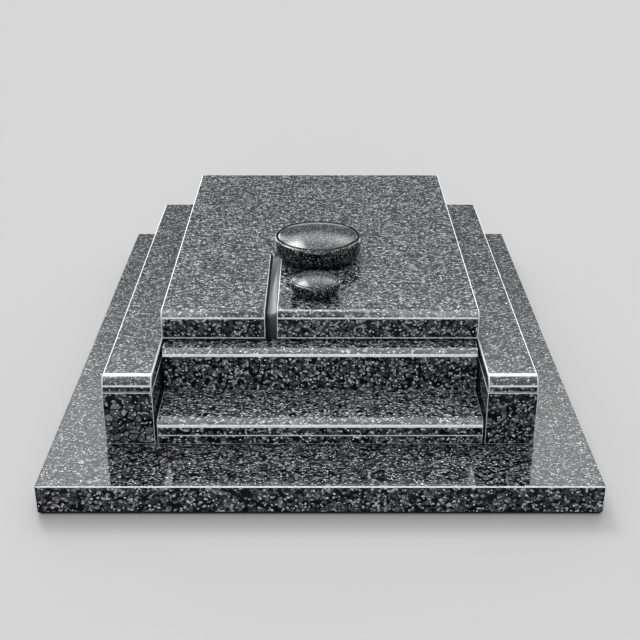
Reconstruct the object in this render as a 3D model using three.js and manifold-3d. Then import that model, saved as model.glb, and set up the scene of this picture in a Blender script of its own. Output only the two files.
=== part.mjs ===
// Low stepped grave memorial of polished dark granite, in millimetres, +Z up, front towards -Y.
// The origin is the middle of the base slab's footprint, on the ground.
//
// A base slab carries two kerbs that run front to back. Between them two steps climb to the top of the
// kerbs, and a cover slab lies on the upper step. Two domed stone discs rest on the cover slab, and a
// groove runs from under the larger disc's edge forward, over the rounded front edge and down the front.

import * as THREE from 'three';
import * as BufferGeometryUtils from 'three/addons/utils/BufferGeometryUtils.js';
import Module from 'manifold-3d';

const wasm = await Module();
wasm.setup();

// Driving dimensions

const beddingGap = 0.3; // between two pieces that rest on or against each other

const base = {
  thickness: 62,
  bottomChamfer: 6,
  sideMargin: 107, // bare base beside each kerb
  frontMargin: 150, // bare base in front of the kerbs
  backMargin: 155, // bare base behind the kerbs
};

const kerb = {
  width: 96,
  length: 1005,
  blockHeight: 113,
  clearSpan: 644, // between the inner faces of the two kerbs
  capThickness: 30,
  capNosingRadius: 19,
};

const step = {
  treadThickness: 33,
  nosingRadius: 18,
  endGap: 5, // between each end of a step and the kerb beside it
  lowerBlockHeight: 19,
  lowerGoing: 124, // from the lower step's front to the upper step's front
  upperTreadDepth: 110,
};

const slab = {
  thickness: 64,
  nosingRadius: 16.5,
  bottomChamfer: 6, // along the front edge only
  setback: 39, // from the upper step's front to the slab's front
  backOverhang: 58, // past the back ends of the kerbs
};

const largeDisc = {
  radius: 96,
  undercutWidth: 14,
  undercutHeight: 19,
  bandHeight: 25,
  bevelWidth: 6,
  bevelHeight: 7.5,
  domeRise: 13,
  fromSlabFront: 299,
  x: -5,
};

const smallDisc = {
  radius: 52,
  undercutWidth: 9,
  undercutHeight: 14,
  bandHeight: 11,
  bevelWidth: 4,
  bevelHeight: 6,
  domeRise: 7.5,
  fromSlabFront: 100,
  x: -10,
};

const groove = {
  width: 24,
  floorWidth: 15,
  depth: 8,
  insideDiscEdge: 2, // how far the groove's centre line lies inside the large disc's edge
  pastDiscCentre: 17, // from the large disc's centre back to the centre of the groove's round end
};

// Smoothness of the round stretches

const arcSegments = 12; // in a quarter turn
const discSegments = 72; // around a disc
const domeRings = 7;
const cutterReach = 4; // how far a cutter stands out of the surface it cuts

// Places worked out from the driving dimensions

const baseWidth = kerb.clearSpan + 2 * kerb.width + 2 * base.sideMargin;
const baseLength = kerb.length + base.frontMargin + base.backMargin;
const baseTop = base.thickness;
const kerbFrontY = -baseLength / 2 + base.frontMargin;
const kerbBackY = kerbFrontY + kerb.length;
const kerbCentreX = kerb.clearSpan / 2 + kerb.width / 2;
const blockBottomZ = baseTop + beddingGap;
const capBottomZ = blockBottomZ + kerb.blockHeight + beddingGap;
const kerbTopZ = capBottomZ + kerb.capThickness;
const stepWidth = kerb.clearSpan - 2 * step.endGap;
const lowerTreadBottomZ = blockBottomZ + step.lowerBlockHeight + beddingGap;
const upperStepFrontY = kerbFrontY + step.lowerGoing;
const upperTreadBottomZ = kerbTopZ - step.treadThickness;
const slabFrontY = upperStepFrontY + slab.setback;
const slabLength = kerbBackY + slab.backOverhang - slabFrontY;
const slabWidth = kerb.clearSpan;
const slabBottomZ = kerbTopZ + beddingGap;
const slabTopZ = slabBottomZ + slab.thickness;
const grooveX = largeDisc.x - largeDisc.radius + groove.insideDiscEdge;
const grooveEndY = slabFrontY + largeDisc.fromSlabFront + groove.pastDiscCentre;

// Material: one dark, slightly cool granite, polished on every face that shows

function polishedGranite() {
  const material = new THREE.MeshStandardMaterial({ color: 0x34373a, roughness: 0.08, metalness: 0 });
  material.name = 'dark_granite';
  return material;
}

// Shapes

// Turns a shape drawn in (y, z) into a bar of the given width, centred on x = 0.
function barAlongX(profile, width) {
  const bar = new THREE.ExtrudeGeometry(profile, {
    depth: width,
    bevelEnabled: false,
    curveSegments: arcSegments,
  });
  const yToWidth = new THREE.Matrix4().makeBasis(
    new THREE.Vector3(0, 1, 0),
    new THREE.Vector3(0, 0, 1),
    new THREE.Vector3(1, 0, 0),
  );
  bar.translate(0, 0, -width / 2);
  bar.applyMatrix4(yToWidth);
  return bar;
}

// Side view of a slab whose front top edge is a quarter round, with its front face at y = 0.
function nosedProfile(length, thickness, radius, frontChamfer) {
  const profile = new THREE.Shape();
  profile.moveTo(frontChamfer, 0);
  profile.lineTo(length, 0);
  profile.lineTo(length, thickness);
  profile.lineTo(radius, thickness);
  profile.absarc(radius, thickness - radius, radius, Math.PI / 2, Math.PI, false);
  if (frontChamfer > 0) {
    profile.lineTo(0, frontChamfer);
  }
  profile.closePath();
  return profile;
}

function plainBlock(width, length, height) {
  const block = new THREE.BoxGeometry(width, length, height);
  block.translate(0, length / 2, height / 2);
  return block;
}

// A box whose bottom edges are chamfered all round. Its corners lie in three rings, one above the
// other: the foot, drawn in by the chamfer, the chamfer's upper edge and the top.
function baseSlabGeometry() {
  const ringHeights = [0, base.bottomChamfer, base.thickness];
  const ringInsets = [base.bottomChamfer, 0, 0];
  const slabBox = new THREE.BoxGeometry(baseWidth, baseLength, 2, 1, 1, 2);
  const corners = slabBox.getAttribute('position');
  for (let i = 0; i < corners.count; i += 1) {
    const ring = corners.getZ(i) + 1;
    const x = corners.getX(i);
    const y = corners.getY(i);
    const inset = ringInsets[ring];
    corners.setXYZ(i, x - Math.sign(x) * inset, y - Math.sign(y) * inset, ringHeights[ring]);
  }
  return slabBox;
}

// The upper step's block carries the tread in a rebate at its front and the cover slab behind it.
function upperBlockGeometry() {
  const height = kerbTopZ - blockBottomZ;
  const rebateZ = upperTreadBottomZ - beddingGap - blockBottomZ;
  const rebateY = step.upperTreadDepth + beddingGap;
  const length = kerbBackY - upperStepFrontY;
  const profile = new THREE.Shape();
  profile.moveTo(0, 0);
  profile.lineTo(length, 0);
  profile.lineTo(length, height);
  profile.lineTo(rebateY, height);
  profile.lineTo(rebateY, rebateZ);
  profile.lineTo(0, rebateZ);
  profile.closePath();
  return barAlongX(profile, stepWidth);
}

// A disc stands on a flat foot. Above it come an undercut, a plain band, a bevel and a shallow dome.
function discGeometry(disc) {
  const bandTop = disc.undercutHeight + disc.bandHeight;
  const domeFoot = bandTop + disc.bevelHeight;
  const domeRadius = disc.radius - disc.bevelWidth;
  const sphereRadius = (domeRadius ** 2 + disc.domeRise ** 2) / (2 * disc.domeRise);
  const halfAngle = Math.asin(domeRadius / sphereRadius);
  const outline = [
    new THREE.Vector2(0, 0),
    new THREE.Vector2(disc.radius - disc.undercutWidth, 0),
    new THREE.Vector2(disc.radius, disc.undercutHeight),
    new THREE.Vector2(disc.radius, bandTop),
    new THREE.Vector2(domeRadius, domeFoot),
  ];
  for (let ring = 1; ring < domeRings; ring += 1) {
    const angle = halfAngle * (1 - ring / domeRings);
    const rise = disc.domeRise - sphereRadius * (1 - Math.cos(angle));
    outline.push(new THREE.Vector2(sphereRadius * Math.sin(angle), domeFoot + rise));
  }
  outline.push(new THREE.Vector2(0, domeFoot + disc.domeRise));
  const turned = new THREE.LatheGeometry(outline, discSegments);
  turned.rotateX(Math.PI / 2);
  return turned;
}

// Cutting with manifold-3d

function toSolid(geometry) {
  const bare = geometry.clone();
  bare.deleteAttribute('normal');
  bare.deleteAttribute('uv');
  const merged = BufferGeometryUtils.mergeVertices(bare);
  const mesh = new wasm.Mesh({
    numProp: 3,
    vertProperties: new Float32Array(merged.getAttribute('position').array),
    triVerts: new Uint32Array(merged.getIndex().array),
  });
  return new wasm.Manifold(mesh);
}

function toGeometry(solid) {
  const mesh = solid.getMesh();
  const geometry = new THREE.BufferGeometry();
  geometry.setAttribute('position', new THREE.BufferAttribute(mesh.vertProperties, 3));
  geometry.setIndex(new THREE.BufferAttribute(mesh.triVerts, 1));
  const flat = geometry.toNonIndexed();
  flat.computeVertexNormals();
  return flat;
}

// The groove's sides slope, so its half width changes evenly with the height above the surface.
function grooveHalfWidth(heightAboveSurface) {
  const slope = (groove.width - groove.floorWidth) / 2 / groove.depth;
  return groove.width / 2 + slope * heightAboveSurface;
}

// A straight cutter with the groove's section: x across, y out of the surface, z along the run.
function straightGrooveCutter(runLength) {
  const floor = grooveHalfWidth(-groove.depth);
  const rim = grooveHalfWidth(cutterReach);
  const section = new THREE.Shape();
  section.moveTo(-floor, -groove.depth);
  section.lineTo(floor, -groove.depth);
  section.lineTo(rim, cutterReach);
  section.lineTo(-rim, cutterReach);
  section.closePath();
  return new THREE.ExtrudeGeometry(section, { depth: runLength, bevelEnabled: false });
}

// The quarter turn over the nosing: a ring with the groove's section, kept in the nosing's quadrant.
function nosingGrooveCutter() {
  const floorRadius = slab.nosingRadius - groove.depth;
  const rimRadius = slab.nosingRadius + cutterReach;
  const floor = grooveHalfWidth(-groove.depth);
  const rim = grooveHalfWidth(cutterReach);
  const ringOutline = [
    new THREE.Vector2(floorRadius, -floor),
    new THREE.Vector2(rimRadius, -rim),
    new THREE.Vector2(rimRadius, rim),
    new THREE.Vector2(floorRadius, floor),
    new THREE.Vector2(floorRadius, -floor),
  ];
  const ring = new THREE.LatheGeometry(ringOutline, 4 * arcSegments);
  ring.rotateZ(-Math.PI / 2);
  const quadrantSide = 2 * rimRadius;
  const quadrant = new THREE.BoxGeometry(4 * rim, quadrantSide, quadrantSide);
  quadrant.translate(0, -quadrantSide / 2, quadrantSide / 2);
  return toSolid(ring).intersect(toSolid(quadrant));
}

function roundEndCutter() {
  const outline = [
    new THREE.Vector2(0, -groove.depth),
    new THREE.Vector2(grooveHalfWidth(-groove.depth), -groove.depth),
    new THREE.Vector2(grooveHalfWidth(cutterReach), cutterReach),
    new THREE.Vector2(0, cutterReach),
  ];
  const cone = new THREE.LatheGeometry(outline, 2 * arcSegments);
  cone.rotateX(Math.PI / 2);
  return toSolid(cone);
}

// The cover slab with its groove, with its front face at y = 0 and its underside at z = 0.
function coverSlabGeometry() {
  const profile = nosedProfile(slabLength, slab.thickness, slab.nosingRadius, slab.bottomChamfer);
  const endY = grooveEndY - slabFrontY;
  const nosingZ = slab.thickness - slab.nosingRadius;

  const alongTop = straightGrooveCutter(endY - slab.nosingRadius);
  alongTop.rotateX(Math.PI / 2);
  alongTop.translate(0, endY, slab.thickness);

  const downFront = straightGrooveCutter(nosingZ + cutterReach);
  downFront.rotateX(Math.PI);
  downFront.translate(0, 0, nosingZ);

  const cutter = toSolid(alongTop)
    .add(toSolid(downFront))
    .add(nosingGrooveCutter().translate(0, slab.nosingRadius, nosingZ))
    .add(roundEndCutter().translate(0, endY, slab.thickness))
    .translate(grooveX, 0, 0);
  return toGeometry(toSolid(barAlongX(profile, slabWidth)).subtract(cutter));
}

// The memorial

const memorial = new THREE.Group();

function add(name, geometry, x, y, z) {
  const mesh = new THREE.Mesh(geometry, polishedGranite());
  mesh.name = name;
  mesh.position.set(x, y, z);
  memorial.add(mesh);
}

add('base_slab', baseSlabGeometry(), 0, 0, 0);

for (const [side, sign] of [['left', -1], ['right', 1]]) {
  const block = plainBlock(kerb.width, kerb.length, kerb.blockHeight);
  const capProfile = nosedProfile(kerb.length, kerb.capThickness, kerb.capNosingRadius, 0);
  add(`${side}_kerb_block`, block, sign * kerbCentreX, kerbFrontY, blockBottomZ);
  add(`${side}_kerb_cap`, barAlongX(capProfile, kerb.width), sign * kerbCentreX, kerbFrontY, capBottomZ);
}

const lowerDepth = step.lowerGoing - beddingGap;
const lowerTreadProfile = nosedProfile(lowerDepth, step.treadThickness, step.nosingRadius, 0);
add('lower_step_block', plainBlock(stepWidth, lowerDepth, step.lowerBlockHeight), 0, kerbFrontY, blockBottomZ);
add('lower_step_tread', barAlongX(lowerTreadProfile, stepWidth), 0, kerbFrontY, lowerTreadBottomZ);

const upperTreadProfile = nosedProfile(step.upperTreadDepth, step.treadThickness, step.nosingRadius, 0);
add('upper_step_block', upperBlockGeometry(), 0, upperStepFrontY, blockBottomZ);
add('upper_step_tread', barAlongX(upperTreadProfile, stepWidth), 0, upperStepFrontY, upperTreadBottomZ);

add('cover_slab', coverSlabGeometry(), 0, slabFrontY, slabBottomZ);

for (const [name, disc] of [['large_disc', largeDisc], ['small_disc', smallDisc]]) {
  add(name, discGeometry(disc), disc.x, slabFrontY + disc.fromSlabFront, slabTopZ + beddingGap);
}

export default memorial;
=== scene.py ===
# %% [markdown]
# This lesson dresses a low grave memorial of polished dark granite: a base slab, two kerbs, two steps,
# a cover slab with a groove cut in it, and two domed discs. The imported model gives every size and
# place, so it is loaded first, and each piece made here is set against it.

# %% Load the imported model
import math
import random

import bmesh
import bpy
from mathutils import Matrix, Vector


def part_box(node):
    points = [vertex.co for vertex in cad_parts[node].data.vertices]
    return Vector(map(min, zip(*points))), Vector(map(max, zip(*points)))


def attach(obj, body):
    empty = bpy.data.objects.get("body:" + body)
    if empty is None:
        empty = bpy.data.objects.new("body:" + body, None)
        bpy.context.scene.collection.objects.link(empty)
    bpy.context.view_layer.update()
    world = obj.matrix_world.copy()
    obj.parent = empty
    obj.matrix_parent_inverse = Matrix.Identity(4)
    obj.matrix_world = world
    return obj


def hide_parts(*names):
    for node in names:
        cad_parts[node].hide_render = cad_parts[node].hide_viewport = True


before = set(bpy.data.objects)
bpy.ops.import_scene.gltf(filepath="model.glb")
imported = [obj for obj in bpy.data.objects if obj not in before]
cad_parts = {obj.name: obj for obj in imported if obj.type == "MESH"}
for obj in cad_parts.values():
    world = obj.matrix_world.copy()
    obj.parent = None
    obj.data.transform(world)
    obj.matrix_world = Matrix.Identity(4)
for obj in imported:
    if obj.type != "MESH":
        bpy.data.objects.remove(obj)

scene = bpy.context.scene
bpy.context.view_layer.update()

# %% [markdown]
# The photograph looks down on the front from a little above head height of a kneeling person. The
# place of the camera and its lens were worked out from the edges of the stones in the picture, so
# nothing is shifted, and the camera only leans forward.

# %% Camera
camera_place = Vector((0.0, -2.387, 1.2127))
camera_lean = math.radians(25.126)
camera_lens = 63.03  # millimetres on a 36 mm sensor

camera = bpy.data.objects.new("camera", bpy.data.cameras.new("camera"))
camera.data.sensor_width = 36
camera.data.lens = camera_lens
camera.location = camera_place
camera.rotation_euler = (math.pi / 2 - camera_lean, 0, 0)
scene.collection.objects.link(camera)
scene.camera = camera
scene.view_settings.view_transform = "Standard"
print("camera", tuple(round(value, 3) for value in camera.location))

# %% [markdown]
# Shaders and shapes alike are trees of nodes. Writing sums as sums keeps them readable, so one small
# class wraps the output of a node and adds a Math node for each operator. Every other node comes from
# one method, which sets the node's own settings first, because they decide which sockets it has.

# %% Nodes from Python
class Wire:
    """The output of a node. Arithmetic on it adds Math nodes to its tree."""

    def __init__(self, socket):
        self.socket = socket

    def maths(self, operation, first, second=0.0):
        return Nodes(self.socket.id_data).add("ShaderNodeMath", {"operation": operation}, {0: first, 1: second})

    def __add__(self, other):
        return self.maths("ADD", self, other)

    __radd__ = __add__

    def __sub__(self, other):
        return self.maths("SUBTRACT", self, other)

    def __rsub__(self, other):
        return self.maths("SUBTRACT", other, self)

    def __mul__(self, other):
        return self.maths("MULTIPLY", self, other)

    __rmul__ = __mul__

    def __truediv__(self, other):
        return self.maths("DIVIDE", self, other)

    def __gt__(self, other):
        return self.maths("GREATER_THAN", self, other)

    def __lt__(self, other):
        return self.maths("LESS_THAN", self, other)


class Nodes:
    """Adds nodes to one tree."""

    def __init__(self, tree):
        self.tree = tree

    def add(self, kind, settings=None, inputs=None, give=0):
        node = self.tree.nodes.new(kind)
        for name, value in (settings or {}).items():
            if name == "stops":
                self.set_stops(node.color_ramp.elements, value)
            else:
                setattr(node, name, value)
        for name, value in (inputs or {}).items():
            self.feed(node, name, value)
        return node if give is None else Wire(self.pick(node.outputs, give))

    @staticmethod
    def pick(sockets, name):
        if isinstance(name, int):
            return sockets[name]
        return next(s for s in sockets if s.name == name and s.enabled)

    def split(self, vector):
        node = self.add("ShaderNodeSeparateXYZ", None, {0: vector}, None)
        return [Wire(socket) for socket in node.outputs]

    def feed(self, node, name, value):
        socket = self.pick(node.inputs, name)
        for one in value if isinstance(value, list) else [value]:
            if isinstance(one, Wire):
                self.tree.links.new(one.socket, socket)
            else:
                socket.default_value = one

    @staticmethod
    def set_stops(elements, stops):
        while len(elements) > 1:
            elements.remove(elements[-1])
        for i, (position, level) in enumerate(stops):
            stop = elements[0] if i == 0 else elements.new(position)
            stop.position = position
            stop.color = (level, level, level, 1)


def new_material(name):
    material = bpy.data.materials.new(name)
    material.use_nodes = True
    material.node_tree.nodes.clear()
    return material, Nodes(material.node_tree)


def smooth_step(nodes, value, low, high):
    """0 below low and 1 above high, with a soft change between them."""
    return nodes.add("ShaderNodeMapRange", {"interpolation_type": "SMOOTHSTEP"},
                     {"Value": value, "From Min": low, "From Max": high}, "Result")


# %% [markdown]
# Polished stone shows its surroundings more than its own colour, so the studio matters most. A sky
# drawn by direction lights the floor evenly and has no edges that could show in the stone. A soft
# dome, brightest overhead, fills it, and one long softbox arches over the object from front to back.
# What the tops mirror is low at the back: the softbox fades there from the height that the front of
# the base mirrors down to the horizon, so each step up is a little darker. Soft panels stand at the
# back as well. A high one on the left puts the highlight on the discs, two low ones light their rims
# and the ends of the rounded edges, and one on each side lights the outer front parts of the base. The
# camera itself sees a plain pale backdrop.

# %% Studio light
brightest = 30.0  # the radiance that a level of 1 stands for
seen_level = 0.67  # the backdrop that the camera sees

# Degrees above the horizon, and the level there.
dome_levels = [(0, 0.32), (15, 0.34), (30, 0.6), (50, 1.3), (90, 2.0)]

# Degrees from the front horizon, over the top and down the back, and the level there.
arch_levels = [(0, 2.5), (5, 5.0), (9, 9.0), (14, 4.5), (20, 2.8), (30, 2.4), (50, 2.6), (70, 2.8),
               (90, 2.8), (115, 2.4), (135, 4.0), (142, 5.0), (145, 4.4), (148, 3.2), (153, 1.7),
               (156, 0.9), (158, 0.35), (161.5, 0.0)]

# The side of each panel, then where it starts, is full, stops being full and ends: first its height,
# as a share of the way to it, then its place to the side, as a share of the way back. Last its level.
panels = [
    ("left", (0.56, 0.68, 0.72, 0.90), (0.14, 0.26, 0.34, 0.95), 24.0),
    ("left", (0.05, 0.15, 0.34, 0.52), (0.20, 0.34, 0.55, 0.90), 9.5),
    ("right", (0.0, 0.05, 0.26, 0.34), (0.36, 0.46, 0.80, 1.00), 7.0),
    ("both", (0.42, 0.52, 0.62, 0.74), (0.11, 0.20, 0.27, 0.36), 2.4),
]


def level_by(nodes, share, levels):
    """A level read off a ramp, whose stops are given as shares of its length."""
    return nodes.add("ShaderNodeValToRGB", {"stops": [(at, level / brightest) for at, level in levels]},
                     {"Fac": share}, "Color") * brightest


def between(nodes, value, start, full, still_full, end):
    """1 from full to still_full, and 0 outside start and end."""
    return smooth_step(nodes, value, start, full) * (1 - smooth_step(nodes, value, still_full, end))


def studio_sky():
    world = bpy.data.worlds.new("studio")
    scene.world = world
    world.use_nodes = True
    world.node_tree.nodes.clear()
    nodes = Nodes(world.node_tree)
    x, y, z = nodes.split(nodes.add("ShaderNodeTexCoord", give="Generated"))
    dome = level_by(nodes, z, [(math.sin(math.radians(degrees)), level) for degrees, level in dome_levels])
    along = z.maths("ARCTAN2", z, 0 - y) / math.pi
    across = x.maths("ABSOLUTE", x)
    behind = smooth_step(nodes, y, 0.0, 0.5)
    arch = level_by(nodes, along, [(degrees / 180, level) for degrees, level in arch_levels])
    arch = arch * (1 - smooth_step(nodes, across, 0.20 + 0.08 * behind, 0.30 + 0.20 * behind))
    aside = {"left": 0 - x / y, "right": x / y, "both": x.maths("ABSOLUTE", x / y)}
    back = y > 0.0
    level = dome + arch
    for side, heights, places, panel_level in panels:
        panel = between(nodes, z, *heights) * back * between(nodes, aside[side], *places)
        level = level + panel * panel_level
    by_camera = nodes.add("ShaderNodeLightPath", give="Is Camera Ray")
    strength = level * (1 - by_camera) + seen_level * by_camera
    glow = nodes.add("ShaderNodeBackground", None, {"Color": (1.0, 1.0, 1.0, 1), "Strength": strength})
    nodes.add("ShaderNodeOutputWorld", None, {"Surface": glow}, None)


studio_sky()
print("the studio has an arch of", len(arch_levels), "levels and", len(panels), "panels")

# %% [markdown]
# The floor is plain, pale and wide, so its edge never shows. It is darker than it looks, because the sky
# above it is bright.

# %% Floor
floor_reach = 20.0
floor_grey = 0.25


def lay_floor():
    mesh = bpy.data.meshes.new("floor")
    corners = [(-floor_reach, -floor_reach, 0), (floor_reach, -floor_reach, 0),
               (floor_reach, floor_reach, 0), (-floor_reach, floor_reach, 0)]
    mesh.from_pydata(corners, [], [(0, 1, 2, 3)])
    floor = bpy.data.objects.new("floor", mesh)
    scene.collection.objects.link(floor)
    material, nodes = new_material("pale_floor")
    paint = nodes.add("ShaderNodeBsdfDiffuse", None, {"Color": (floor_grey, floor_grey, floor_grey, 1)})
    nodes.add("ShaderNodeOutputMaterial", None, {"Surface": paint}, None)
    mesh.materials.append(material)
    return floor


floor = lay_floor()
print("floor", floor.name, "reaches", floor_reach, "metres each way")

# %% [markdown]
# Granite is a tight mass of crystals that took their shapes from their neighbours. Voronoi cells in
# three dimensions do the same, and a cut through them gives the angular flakes that a sawn face shows
# on any side of a block. Each large cell gets one mineral: near black mica and pyroxene, or
# grey quartz and feldspar, parted by dark seams. Small cells break the large ones up, and a few of
# them are pale flakes. Tiny bright grains are scattered over all. All of them lie flattened from front
# to back, so that they show as short dashes on the tops. Polish takes better on some minerals than on
# others, so a thin clear coat varies from grain to grain. The index of refraction is set below that of
# real feldspar, because the photograph shows hardly any mirror image in the upright faces.

# %% Polished granite
crystal_size = 0.0070
flake_size = 0.0037
glint_size = 0.0028
flattening = (0.9, 1.55, 1.0)  # how much closer together the crystals lie along x, y and z
crystal_levels = [(0.0, 0.001), (0.27, 0.003), (0.32, 0.024), (0.66, 0.05), (0.86, 0.09), (1.0, 0.18)]
seam_width = (0.04, 0.12)
pale_from = 0.89  # the share of the flakes that stay dark
glint_from = 0.96  # the share of the grains that don't glint
glint_reach = 0.40
stone_index = 1.19
coat_index = 1.6


def cells(nodes, place, size, feature="F1", give="Color"):
    return nodes.add("ShaderNodeTexVoronoi", {"voronoi_dimensions": "3D", "feature": feature},
                     {"Vector": place, "Scale": 1 / size}, give)


def mixed(nodes, factor, first, second):
    return nodes.add("ShaderNodeMix", {"data_type": "RGBA"},
                     {"Factor": factor, "A": first, "B": second}, "Result")


def lit(nodes, colour, level):
    return nodes.add("ShaderNodeVectorMath", {"operation": "SCALE"}, {0: colour, "Scale": level})


def place_in_stone(nodes, shift):
    """The point in the block, moved so that each stone shows another part of it."""
    return nodes.add("ShaderNodeMapping", None,
                     {"Vector": nodes.add("ShaderNodeTexCoord", give="Object"), "Location": shift,
                      "Scale": flattening})


def finish_with(nodes, sockets):
    shader = nodes.add("ShaderNodeBsdfPrincipled", None, sockets)
    nodes.add("ShaderNodeOutputMaterial", None, {"Surface": shader}, None)


def polished_granite(name, shift, grain=(1.0, 1.0), tone=1.0, sealed=None):
    """Grain scales the large crystals and the small grains apart. A sealed stone has an even gloss."""
    material, nodes = new_material(name)
    place = place_in_stone(nodes, shift)
    mineral, shade, tint = nodes.split(cells(nodes, place, crystal_size * grain[0]))
    seam = cells(nodes, place, crystal_size * grain[0], "DISTANCE_TO_EDGE", "Distance")
    flake, flake_shade, flake_tint = nodes.split(cells(nodes, place, flake_size * grain[1]))
    glint, glint_shade, _ = nodes.split(cells(nodes, place, glint_size * grain[1]))
    glint_middle = cells(nodes, place, glint_size * grain[1], give="Distance")

    crystal = nodes.add("ShaderNodeValToRGB", {"stops": crystal_levels}, {"Fac": mineral}, "Color")
    inside = smooth_step(nodes, seam, *seam_width)
    ground = crystal * inside * (0.7 + 0.6 * flake_shade)
    pale = (flake > pale_from) * (0.12 + 0.26 * flake_shade)
    spark = (glint > glint_from) * (glint_middle < glint_reach) * (0.35 + glint_shade * 0.6)
    level = tone * ground.maths("MAXIMUM", ground, pale) + spark
    gloss = 0.12 * flake_shade if sealed is None else sealed
    cool, green, violet = (0.93, 0.98, 1.05, 1), (0.88, 1.03, 1.0, 1), (1.0, 0.94, 1.08, 1)
    hue = mixed(nodes, tint, mixed(nodes, shade, cool, green), mixed(nodes, flake_tint, cool, violet))
    finish_with(nodes, {"Base Color": lit(nodes, hue, level), "Roughness": 0.04 + 0.05 * shade,
                        "IOR": stone_index, "Coat Weight": gloss, "Coat Roughness": 0.1,
                        "Coat IOR": coat_index})
    return material


# %% [markdown]
# Every edge of a polished stone is eased with a fine hand stone, because a sharp one chips. That
# narrow strip, the arris, is left matt and given a colour far paler than the stone: partly a real eased
# edge, partly a painted highlight that draws the thin light line round each block. It is a material of
# its own. Narrow cuts and the chamfer under the base are the opposite: painted shade, a near black,
# dull colour put where shade falls.

# %% Matt arris with painted highlight, and painted shade
neutral_tint = (0.97, 0.99, 1.02)


# Pale arris colour, partly a painted highlight: it draws the light lines along the edges.
def arris_painted_highlight():
    material, nodes = new_material("arris_painted_highlight")
    mineral, shade, _ = nodes.split(cells(nodes, place_in_stone(nodes, (0.0, 0.0, 0.0)), glint_size))
    finish_with(nodes, {"Base Color": lit(nodes, neutral_tint, 0.34 + 0.16 * mineral),
                        "Roughness": 0.35 + shade * 0.1, "IOR": 1.5})
    return material


# A near black, dull colour: painted shade for narrow cuts, the groove's left wall and the underside.
def painted_shade():
    material, nodes = new_material("painted_shade")
    mineral, shade, _ = nodes.split(cells(nodes, place_in_stone(nodes, (0.0, 0.0, 0.0)), flake_size))
    finish_with(nodes, {"Base Color": lit(nodes, neutral_tint, 0.002 + 0.012 * mineral),
                        "Roughness": 0.8 + 0.15 * shade, "IOR": 1.1})
    return material


arris_highlight_finish = arris_painted_highlight()
painted_shade_finish = painted_shade()
print("shared finishes", arris_highlight_finish.name, "and", painted_shade_finish.name)

# %% [markdown]
# Most of the stones are bars that run from side to side with one side view all along: a rectangle
# whose front top edge may be rounded into a nosing, and whose front lower edge may be chamfered. The
# tops of the kerbs also roll down a little before the nosing. A Geometry Nodes tree draws that side
# view from named sizes, rounds its corners and sweeps it from left to right.

# %% A tree for bars with one side view
nosing_steps = 24
roll_steps = 8


def new_tree(name, sizes, takes_shape=False):
    tree = bpy.data.node_groups.new(name, "GeometryNodeTree")
    if takes_shape:
        tree.interface.new_socket("Geometry", in_out="INPUT", socket_type="NodeSocketGeometry")
    for label in sizes:
        tree.interface.new_socket(label, in_out="INPUT", socket_type="NodeSocketFloat")
    if not takes_shape:
        tree.interface.new_socket("Place", in_out="INPUT", socket_type="NodeSocketVector")
    tree.interface.new_socket("Stone", in_out="INPUT", socket_type="NodeSocketMaterial")
    tree.interface.new_socket("Geometry", in_out="OUTPUT", socket_type="NodeSocketGeometry")
    nodes = Nodes(tree)
    entry = nodes.add("NodeGroupInput", give=None)
    return nodes, {socket.name: Wire(socket) for socket in entry.outputs if socket.name}


def point(nodes, x, y, z):
    return nodes.add("ShaderNodeCombineXYZ", None, {"X": x, "Y": y, "Z": z})


def close_tree(nodes, shape, size):
    placed = nodes.add("GeometryNodeTransform", None, {"Geometry": shape, "Translation": size["Place"]})
    real = nodes.add("GeometryNodeRealizeInstances", None, {"Geometry": placed})
    finished = nodes.add("GeometryNodeSetMaterial", None, {"Geometry": real, "Material": size["Stone"]})
    nodes.add("NodeGroupOutput", None, {"Geometry": finished}, None)
    return nodes.tree


def by_index(nodes, kind, choices):
    """A field that gives each point in turn its own choice."""
    switch = nodes.add("GeometryNodeIndexSwitch", {"data_type": kind}, None, None)
    while len(switch.index_switch_items) < len(choices):
        switch.index_switch_items.new()
    nodes.feed(switch, "Index", nodes.add("GeometryNodeInputIndex"))
    for i, value in enumerate(choices):
        nodes.feed(switch, str(i), value)
    return Wire(switch.outputs[0])


def chain_of(nodes, corners):
    """An open curve through the given points."""
    chain = nodes.add("GeometryNodeMeshLine", None, {"Count": len(corners)})
    chain = nodes.add("GeometryNodeSetPosition", None,
                      {"Geometry": chain, "Position": by_index(nodes, "VECTOR", corners)})
    return nodes.add("GeometryNodeMeshToCurve", None, {"Mesh": chain})


def side_view(nodes, size):
    """The outline of a bar seen from its right end. Curve to Mesh turns a section upside down, so each
    point is drawn with its depth and height negative."""
    places = [(size["Length"], 0.0), (size["Length"], size["Thickness"]),
              (size["Roll Depth"], size["Thickness"]), (0.0, size["Thickness"] - size["Roll Drop"]), (0.0, 0.0)]
    outline = chain_of(nodes, [point(nodes, 0 - depth, 0 - height, 0.0) for depth, height in places])
    outline = nodes.add("GeometryNodeSetSplineCyclic", None, {"Geometry": outline, "Cyclic": True})
    radii = by_index(nodes, "FLOAT", [0.0, 0.0, size["Roll Radius"], size["Nosing"], size["Foot Chamfer"]])
    counts = by_index(nodes, "INT", [1, 1, roll_steps, nosing_steps, 1])
    return nodes.add("GeometryNodeFilletCurve", {"mode": "POLY"},
                     {"Curve": outline, "Radius": radii, "Count": counts})


def bar_shape(nodes, size):
    """The bar, centred on x = 0, with its front face at y = 0 and its underside at z = 0."""
    end = size["Width"] / 2
    run = nodes.add("GeometryNodeCurvePrimitiveLine", None,
                    {"Start": point(nodes, 0 - end, 0.0, 0.0), "End": point(nodes, end, 0.0, 0.0)})
    return nodes.add("GeometryNodeCurveToMesh", None,
                     {"Curve": run, "Profile Curve": side_view(nodes, size), "Fill Caps": True})


bar_sizes = ["Width", "Length", "Thickness", "Nosing", "Foot Chamfer", "Roll Depth", "Roll Drop",
             "Roll Radius"]


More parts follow.
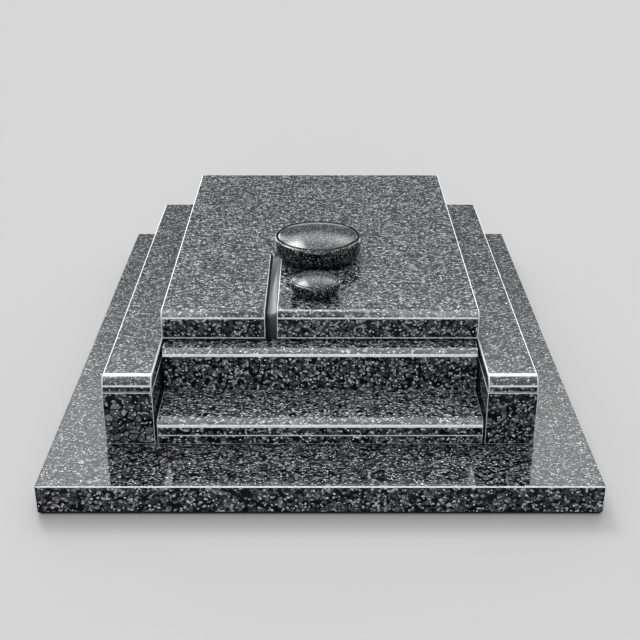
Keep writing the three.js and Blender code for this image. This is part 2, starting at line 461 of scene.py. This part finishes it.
def bar_tree():
    nodes, size = new_tree("bar", bar_sizes)
    return close_tree(nodes, bar_shape(nodes, size), size)


bar = bar_tree()
print("the bar tree has", len(bar.nodes), "nodes")

# %% [markdown]
# A tree only makes a shape while its modifier is live. To finish a stone, its modifier gets the sizes,
# a Bevel modifier eases the edges and gives them the pale arris colour, and the evaluated result is
# kept as a plain mesh. Large faces stay flat, and only the rounded strips between them are shaded
# smooth. The rounded front edge is sealed, which makes it glossier than the faces, and where its curve
# ends a narrow strip gets the pale arris colour again: a painted highlight, the bright line along the
# foot of each rounded edge.

# %% Finish one stone
face_slot, arris_highlight_slot, edge_slot = 0, 1, 2  # the finishes of a stone: its faces, arrises and rounded edge
arris_segments = 2
sharp_from = 28  # degrees between two faces, from which their edge is eased
flat = 0.9999  # a face whose normal lies along an axis to within this is flat


def keep_mesh(piece):
    """Replaces the live modifiers by the plain mesh that they make."""
    bpy.context.view_layer.update()
    depsgraph = bpy.context.evaluated_depsgraph_get()
    mesh = bpy.data.meshes.new_from_object(piece.evaluated_get(depsgraph), depsgraph=depsgraph)
    piece.modifiers.clear()
    piece.data = mesh
    mesh.name = piece.name
    return mesh


def set_inputs(modifier, tree, values):
    modifier.node_group = tree
    sockets = {item.name: item.identifier for item in tree.interface.items_tree if item.in_out == "INPUT"}
    for label, value in values.items():
        modifier[sockets[label]] = value


def ease_and_bake(piece, finishes, arris_width, eased_slot=arris_highlight_slot):
    """Eases the edges, then keeps the result as a plain mesh."""
    piece.data.materials.clear()
    for finish in finishes:
        piece.data.materials.append(finish)
    ease = piece.modifiers.new("arris", "BEVEL")
    ease.width = arris_width
    ease.segments = arris_segments
    ease.limit_method = "ANGLE"
    ease.angle_limit = math.radians(sharp_from)
    ease.material = eased_slot
    ease.use_clamp_overlap = False
    mesh = keep_mesh(piece)
    while len(mesh.materials) < len(finishes):
        mesh.materials.append(None)
    for i, finish in enumerate(finishes):
        mesh.materials[i] = finish
    for face in mesh.polygons:
        face.use_smooth = max(abs(value) for value in face.normal) < flat
    return piece


nosing_from = 18  # degrees of tilt, from which a rounded edge has its own gloss
# Between these tilts the foot of a rounded edge gets the pale arris colour: a painted highlight.
foot_highlight = (73, 84)  # the tilts, in degrees, between which the foot of a rounded edge is left matt
slight, marked = 0.01, 0.3  # a part of a normal counts as none below the first, as tilted above the second


def mark_nosing(piece, highlight_lines=(foot_highlight,)):
    """Gives the rounded front edge its own finish, with painted highlights, in the pale arris colour,
    where its tilt is in the ranges.
    """
    for face in piece.data.polygons:
        across, back, up = face.normal
        if face.material_index == face_slot and abs(across) < slight and back < -slight and up > slight:
            tilt = math.degrees(math.atan2(-back, up))
            if any(low < tilt < high for low, high in highlight_lines):
                face.material_index = arris_highlight_slot
            elif tilt > nosing_from:
                face.material_index = edge_slot


def finishes_for(node, grain=(1.0, 1.0), tone=1.0, sealed=None):
    """The polished faces and the arrises of one stone, and its rounded edge if that has its own gloss."""
    shift = grain_shift(node)
    finishes = [polished_granite(node, shift, grain, tone), arris_highlight_finish]
    if sealed is not None:
        finishes.append(polished_granite(node + "_rounded_edge", shift, grain, tone, sealed))
    return finishes


def bake(name, tree, sizes, finishes, arris_width, eased_slot=arris_highlight_slot):
    """Runs a tree with its sizes and finishes the stone that it makes."""
    piece = bpy.data.objects.new(name, bpy.data.meshes.new(name))
    scene.collection.objects.link(piece)
    set_inputs(piece.modifiers.new("shape", "NODES"), tree, {**sizes, "Stone": finishes[0]})
    return ease_and_bake(piece, finishes, arris_width, eased_slot)


def stand_for(piece, node):
    """Puts the piece in the place of its CAD node."""
    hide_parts(node)
    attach(piece, "root")
    low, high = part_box(node)
    corners = [Vector(vertex.co) for vertex in piece.data.vertices]
    reach = [max(low[i] - min(c[i] for c in corners), max(c[i] for c in corners) - high[i]) for i in range(3)]
    past = [round(metres * 1000, 2) for metres in reach]
    print(piece.name, len(piece.data.polygons), "faces, past its solid by", past, "mm")
    return piece


def grain_shift(name):
    """Each stone is cut from another part of the block, so its grain starts somewhere else."""
    pick = random.Random(name)
    return tuple(pick.uniform(-5, 5) for _ in range(3))


# %% [markdown]
# The kerbs, steps and plain blocks are all such bars. Their outer sizes come from the imported model;
# only the radius of each rounded edge and the width of the arris are given here. Sawn blocks have no
# nosing. The kerb tops roll down by a few degrees over their last 24 millimetres, and the crease
# between that roll and the nosing gets the pale arris colour, a painted highlight, because the
# photograph shows a broad bright line there. The painted highlight along the foot of each tread's
# nosing is broader than that of the caps. The left kerb block was cut from coarser stone, and kerbs and
# caps are a little darker than the steps. Where the upper tread meets its riser nothing catches the
# light, so the arris there gets no painted highlight and keeps the polish.

# %% Kerbs and steps
face_arris = 0.0010
top_arris = 0.0028
base_arris = 0.0018
hairline = 0.0003
plain = {"Nosing": 0.0, "Foot Chamfer": 0.0, "Roll Drop": 0.0, "Roll Radius": 0.0}
cap_edge = {"Nosing": 0.019, "Foot Chamfer": 0.0, "Roll Depth": 0.024, "Roll Drop": 0.0026,
            "Roll Radius": 0.15}
tread_edge = {**plain, "Nosing": 0.018}
block_tone, cap_tone = 0.74, 0.76
cap_gloss, tread_gloss = 0.25, 0.6
# The crease of the caps and the foot of the treads get the pale arris colour: painted highlights.
cap_crease_highlight = (3.2, 18)  # tilts in degrees, as in foot_highlight
tread_foot_highlight = (65, 84)
block_crystals = {"left": 2.0, "right": 1.1}  # their size against that of the other stones


def box_sizes(node):
    low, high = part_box(node)
    width, length, thickness = high - low
    return {"Width": width, "Length": length, "Thickness": thickness, "Roll Depth": length / 2,
            "Place": ((low.x + high.x) / 2, low.y, low.z)}


def make_bar(node, edge, finishes, arris_width=face_arris, eased_slot=arris_highlight_slot, highlight_lines=(foot_highlight,)):
    piece = bake(node + "_stone", bar, {**box_sizes(node), **edge}, finishes, arris_width, eased_slot)
    if len(finishes) > edge_slot:
        mark_nosing(piece, highlight_lines)
    return stand_for(piece, node)


for side, crystals in block_crystals.items():
    block, cap = side + "_kerb_block", side + "_kerb_cap"
    make_bar(block, plain, finishes_for(block, (crystals, 1.0), block_tone))
    make_bar(cap, cap_edge, finishes_for(cap, tone=cap_tone, sealed=cap_gloss), top_arris,
             highlight_lines=(cap_crease_highlight, foot_highlight))
make_bar("lower_step_block", plain, finishes_for("lower_step_block"))
make_bar("lower_step_tread", tread_edge, finishes_for("lower_step_tread", sealed=tread_gloss),
         highlight_lines=(tread_foot_highlight,))
make_bar("upper_step_tread", tread_edge, finishes_for("upper_step_tread", sealed=tread_gloss), hairline,
         eased_slot=face_slot, highlight_lines=(tread_foot_highlight,))

# %% [markdown]
# The base slab and the block of the upper step are plain stones that the imported model already gives,
# a box with a chamfered foot and a block with a rebate for its tread. A copy of each solid is merged
# into clean faces and only needs its arrises. Under the base, the chamfer and the faces that touch
# the floor get painted shade, the near black dull colour, and the arrises along its sides keep their
# polish. Its wide top is given a darker tone than its sides: painted shade, which also makes it mirror
# the kerbs and steps more clearly.

# %% Base slab and upper step block
weld_distance = 1e-6
# The top is darker than the sides: painted shade.
base_top_shaded_tone, base_side_tone = 0.62, 0.88
under_shade_slot, side_slot = 2, 3  # further finishes of the base slab


def eased_copy(node, finishes, arris_width, eased_slot=arris_highlight_slot):
    shape = bmesh.new()
    shape.from_mesh(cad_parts[node].data)
    bmesh.ops.remove_doubles(shape, verts=shape.verts, dist=weld_distance)
    bmesh.ops.dissolve_limit(shape, angle_limit=math.radians(1), verts=shape.verts, edges=shape.edges)
    for face in shape.faces:
        face.material_index = face_slot
    piece = bpy.data.objects.new(node + "_stone", bpy.data.meshes.new(node))
    shape.to_mesh(piece.data)
    shape.free()
    scene.collection.objects.link(piece)
    return stand_for(ease_and_bake(piece, finishes, arris_width, eased_slot), node)


base_sides = polished_granite("base_slab_sides", grain_shift("base_slab"), tone=base_side_tone)
base_finishes = finishes_for("base_slab", tone=base_top_shaded_tone) + [painted_shade_finish, base_sides]
base = eased_copy("base_slab", base_finishes, base_arris)
# The chamfer and underside get painted shade, and the sides the lighter copy, so the darker top is painted
# shade.
for face in base.data.polygons:
    if face.normal.z < -slight:
        face.material_index = under_shade_slot
    elif face.material_index == arris_highlight_slot and abs(face.normal.x) > marked:
        face.material_index = face_slot
    elif face.material_index == face_slot and face.normal.z < slight:
        face.material_index = side_slot
eased_copy("upper_step_block", finishes_for("upper_step_block")[:1], hairline, face_slot)

# %% [markdown]
# A groove with sloping sides comes forward along the cover slab from under the large disc, turns over
# the rounded edge and runs down the front. It is cut as a mason's wheel would cut it: the section of
# the groove is swept along a path that follows the surface, with a cone for the round end, and the
# slab has both taken out of it.

# %% A tree that cuts the groove
cutter_reach = 0.004  # how far the cutter stands out of the surface
cutter_drop = 0.08  # from the slab's top to below its underside
groove_sizes = ["Groove X", "Groove Length", "Groove Width", "Floor Width", "Groove Depth", "Rim Arris",
                "Nosing", "Top", "Front"]


def groove_cutters(nodes, size):
    half, floor_half, depth = size["Groove Width"] / 2, size["Floor Width"] / 2, size["Groove Depth"]
    rim = half + (half - floor_half) / depth * cutter_reach
    # Across and down. The upper corners open the rim, so a fine arris is cut with the groove.
    wide, ease = half + size["Rim Arris"] + cutter_reach, size["Rim Arris"]
    outline = [(floor_half, depth), (0 - floor_half, depth), (0 - half, ease), (0 - wide, -cutter_reach),
               (wide, -cutter_reach), (half, ease)]
    section = chain_of(nodes, [point(nodes, x, y, 0.0) for x, y in outline])
    section = nodes.add("GeometryNodeSetSplineCyclic", None, {"Geometry": section, "Cyclic": True})
    across, front, top = size["Groove X"], size["Front"], size["Top"]
    end = front + size["Groove Length"]
    route = chain_of(nodes, [point(nodes, across, front, top - cutter_drop),
                             point(nodes, across, front, top), point(nodes, across, end, top)])
    route = nodes.add("GeometryNodeFilletCurve", {"mode": "POLY"},
                      {"Curve": route, "Radius": size["Nosing"], "Count": nosing_steps})
    run = nodes.add("GeometryNodeCurveToMesh", None,
                    {"Curve": route, "Profile Curve": section, "Fill Caps": True})
    cone = nodes.add("GeometryNodeMeshCone", None,
                     {"Vertices": 2 * nosing_steps, "Radius Top": rim, "Radius Bottom": floor_half,
                      "Depth": depth + cutter_reach})
    round_end = nodes.add("GeometryNodeTransform", None,
                          {"Geometry": cone, "Translation": point(nodes, across, end, top - depth)})
    return [nodes.add("GeometryNodeSetMaterial", None, {"Geometry": solid, "Material": size["Stone"]})
            for solid in (run, round_end)]


def groove_tree():
    nodes, size = new_tree("groove", groove_sizes, takes_shape=True)
    cut = nodes.add("GeometryNodeMeshBoolean", {"operation": "DIFFERENCE", "solver": "EXACT"},
                    {"Mesh 1": size["Geometry"], "Mesh 2": groove_cutters(nodes, size)}, "Mesh")
    real = nodes.add("GeometryNodeRealizeInstances", None, {"Geometry": cut})
    in_groove = nodes.add("GeometryNodeMaterialSelection", None, {"Material": size["Stone"]})
    finished = nodes.add("GeometryNodeSetMaterial", None,
                         {"Geometry": real, "Selection": in_groove, "Material": size["Stone"]})
    nodes.add("NodeGroupOutput", None, {"Geometry": finished}, None)
    return nodes.tree


# %% [markdown]
# The cover slab is one more bar, with the groove cut after its edges are eased, so that the fine
# arrises aren't disturbed. The groove's left wall gets painted shade, the near black dull colour. Its
# right wall and floor are honed, and the pale arris colour, partly a painted highlight, runs along both
# rims. Along the foot of the slab only the first strip of each arris is matt, because the photograph
# shows a thin line there.

# %% Cover slab
slab_nosing = 0.0165
slab_tone, slab_gloss = 0.92, 0.8
rim_tilt = 0.9  # a face of the groove that leans back more than this is the arris of its rim
slab_low, slab_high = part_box("cover_slab")
disc_low, disc_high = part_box("large_disc")
disc_middle = (disc_low + disc_high) / 2
groove_inside_edge = 0.002
groove_past_middle = 0.017
groove_cut = {
    "Groove X": disc_low.x + groove_inside_edge,
    "Groove Length": disc_middle.y + groove_past_middle - slab_low.y,
    "Groove Width": 0.024, "Floor Width": 0.015, "Groove Depth": 0.008, "Rim Arris": 0.0016,
    "Nosing": slab_nosing, "Top": slab_high.z, "Front": slab_low.y,
}


def honed_granite(name, shift):
    """The groove is too narrow for a polishing head, so its faces keep the grey of a honed stone. Their grey
    is painted darker on the left and paler on the right: painted shade from the groove's left wall."""
    material, nodes = new_material(name)
    mineral, shade, _ = nodes.split(cells(nodes, place_in_stone(nodes, shift), flake_size))
    x, _, _ = nodes.split(nodes.add("ShaderNodeTexCoord", give="Object"))
    half_floor = groove_cut["Floor Width"] / 2
    # Painted shade: the grey falls off towards the groove's left wall.
    painted_light_across = smooth_step(nodes, x, groove_cut["Groove X"] - half_floor, groove_cut["Groove X"] + half_floor)
    grey = (0.03 + 0.06 * mineral + 0.03 * shade) * (0.12 + 0.48 * painted_light_across)
    finish_with(nodes, {"Base Color": lit(nodes, neutral_tint, grey), "Roughness": 0.4 + 0.1 * shade, "IOR": 1.4})
    return material


cover_sizes = {**box_sizes("cover_slab"), **plain, "Nosing": slab_nosing, "Foot Chamfer": 0.006}
cover_finishes = finishes_for("cover_slab", tone=slab_tone, sealed=slab_gloss)
cover = bake("cover_slab_stone", bar, cover_sizes, cover_finishes, top_arris)
mark_nosing(cover)
honed = honed_granite("cover_slab_groove", grain_shift("cover_slab"))
set_inputs(cover.modifiers.new("groove", "NODES"), groove_tree(), {**groove_cut, "Stone": honed})
mesh = keep_mesh(cover)
honed_slot = mesh.materials.find(honed.name)
mesh.materials.append(painted_shade_finish)
shade_slot = len(mesh.materials) - 1
# The groove's rims get the pale arris colour, partly painted highlight, and its left wall painted shade.
for face in mesh.polygons:
    across, back, up = face.normal
    if face.material_index == arris_highlight_slot and up < -marked:
        face.material_index = face_slot
    elif face.material_index == honed_slot and abs(across) > marked:
        if math.hypot(back, up) > rim_tilt * abs(across):
            face.material_index = arris_highlight_slot
        elif across > 0:
            face.material_index = shade_slot
stand_for(cover, "cover_slab")
print("cover slab finishes", [finish.name for finish in cover.data.materials])

# %% [markdown]
# The discs were turned, so each is one half section swung round its axis: a flat foot, an undercut, a
# plain band, a bevel and a shallow dome. The tree sweeps that section round a circle whose radius is
# the disc's own, which puts the axis at the section's inner ends, and merges the points that meet
# there. A narrow cut parts the bevel from the dome.

# %% A tree for turned discs
disc_steps = 128
dome_steps = 28
rounding_steps = 4
disc_sizes = ["Radius", "Undercut Width", "Undercut Height", "Band Height", "Bevel Width", "Bevel Height",
              "Dome Rise", "Band Rounding", "Edge Rounding", "Ring Width", "Ring Depth"]


def disc_section(nodes, size):
    """Half the disc's section. Curve to Mesh takes its first number as the distance in from the circle,
    and its second as the height, both with their sign turned."""
    radius, band_top = size["Radius"], size["Undercut Height"] + size["Band Height"]
    dome_foot = band_top + size["Bevel Height"]
    dome_radius = radius - size["Bevel Width"]
    ring = size["Ring Width"] / 2
    corners = [(0.0, 0.0), (radius - size["Undercut Width"], 0.0), (radius, size["Undercut Height"]),
               (radius, band_top), (dome_radius + ring, dome_foot),
               (dome_radius, dome_foot - size["Ring Depth"]), (dome_radius - ring, dome_foot)]
    walls = chain_of(nodes, [point(nodes, out - radius, 0 - height, 0.0) for out, height in corners])
    rounding = [0.0, 0.0, size["Band Rounding"], size["Edge Rounding"], 0.0, 0.0, 0.0]
    walls = nodes.add("GeometryNodeFilletCurve", {"mode": "POLY"},
                      {"Curve": walls, "Radius": by_index(nodes, "FLOAT", rounding), "Count": rounding_steps})
    # The dome is an arc of a sphere that passes through its foot and its top.
    dome_radius = dome_radius - ring
    sphere = (dome_radius * dome_radius + size["Dome Rise"] * size["Dome Rise"]) / (2 * size["Dome Rise"])
    reach = (dome_radius / sphere).maths("ARCSINE", dome_radius / sphere)
    arc = nodes.add("GeometryNodeMeshLine", None, {"Count": dome_steps})
    turn = reach * (1 - nodes.add("GeometryNodeInputIndex") / (dome_steps - 1))
    out = sphere * turn.maths("SINE", turn)
    height = dome_foot + size["Dome Rise"] - sphere * (1 - turn.maths("COSINE", turn))
    arc = nodes.add("GeometryNodeSetPosition", None,
                    {"Geometry": arc, "Position": point(nodes, out - radius, 0 - height, 0.0)})
    outline = nodes.add("GeometryNodeCurveToMesh", None, {"Curve": walls})
    both = nodes.add("GeometryNodeJoinGeometry", None, {"Geometry": [outline, arc]})
    joined = nodes.add("GeometryNodeMergeByDistance", None, {"Geometry": both, "Distance": weld_distance})
    return nodes.add("GeometryNodeMeshToCurve", None, {"Mesh": joined})


def disc_tree():
    nodes, size = new_tree("turned disc", disc_sizes)
    circle = nodes.add("GeometryNodeCurvePrimitiveCircle", {"mode": "RADIUS"},
                       {"Resolution": disc_steps, "Radius": size["Radius"]})
    turned = nodes.add("GeometryNodeCurveToMesh", None,
                       {"Curve": circle, "Profile Curve": disc_section(nodes, size)})
    closed = nodes.add("GeometryNodeMergeByDistance", None, {"Geometry": turned, "Distance": weld_distance})
    return close_tree(nodes, closed, size)


turned_disc = disc_tree()
print("the disc tree has", len(turned_disc.nodes), "nodes")

# %% [markdown]
# Both discs come from that tree, each with its own sizes, and stand on the slab by their own weight.
# They were cut from finer and darker stone than the slabs. The narrow cut round the dome gets painted
# shade, the near black dull colour, and shows as a dark ring.

# %% Discs
disc_grain = (0.6, 0.6)
disc_tone = 0.38
disc_gloss = 0.08
large_disc_sizes = {
    "Undercut Width": 0.014, "Undercut Height": 0.019, "Band Height": 0.025, "Bevel Width": 0.006,
    "Bevel Height": 0.0075, "Dome Rise": 0.013, "Band Rounding": 0.006, "Edge Rounding": 0.0012,
    "Ring Width": 0.0045, "Ring Depth": 0.004,
}
small_disc_sizes = {
    "Undercut Width": 0.009, "Undercut Height": 0.014, "Band Height": 0.011, "Bevel Width": 0.004,
    "Bevel Height": 0.006, "Dome Rise": 0.0075, "Band Rounding": 0.012, "Edge Rounding": 0.003,
    "Ring Width": 0.0016, "Ring Depth": 0.0012,
}


def make_disc(node, sizes):
    low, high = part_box(node)
    middle = (low + high) / 2
    stone = polished_granite(node, grain_shift(node), disc_grain, disc_tone, disc_gloss)
    sizes = {**sizes, "Radius": (high.x - low.x) / 2, "Place": (middle.x, middle.y, low.z)}
    piece = bpy.data.objects.new(node + "_stone", bpy.data.meshes.new(node))
    scene.collection.objects.link(piece)
    set_inputs(piece.modifiers.new("shape", "NODES"), turned_disc, {**sizes, "Stone": stone})
    mesh = keep_mesh(piece)
    mesh.materials.append(painted_shade_finish)
    ring_shade_slot = len(mesh.materials) - 1
    ring_radius = sizes["Radius"] - sizes["Bevel Width"]
    # The faces of the narrow cut get the near black colour: painted shade.
    for face in mesh.polygons:
        face.use_smooth = abs(face.normal.z) < flat
        out = math.hypot(face.center.x - middle.x, face.center.y - middle.y)
        if abs(out - ring_radius) < sizes["Ring Width"] / 2 and face.center.z > middle.z:
            face.material_index = ring_shade_slot
            face.use_smooth = False
    return stand_for(piece, node)


make_disc("large_disc", large_disc_sizes)
make_disc("small_disc", small_disc_sizes)
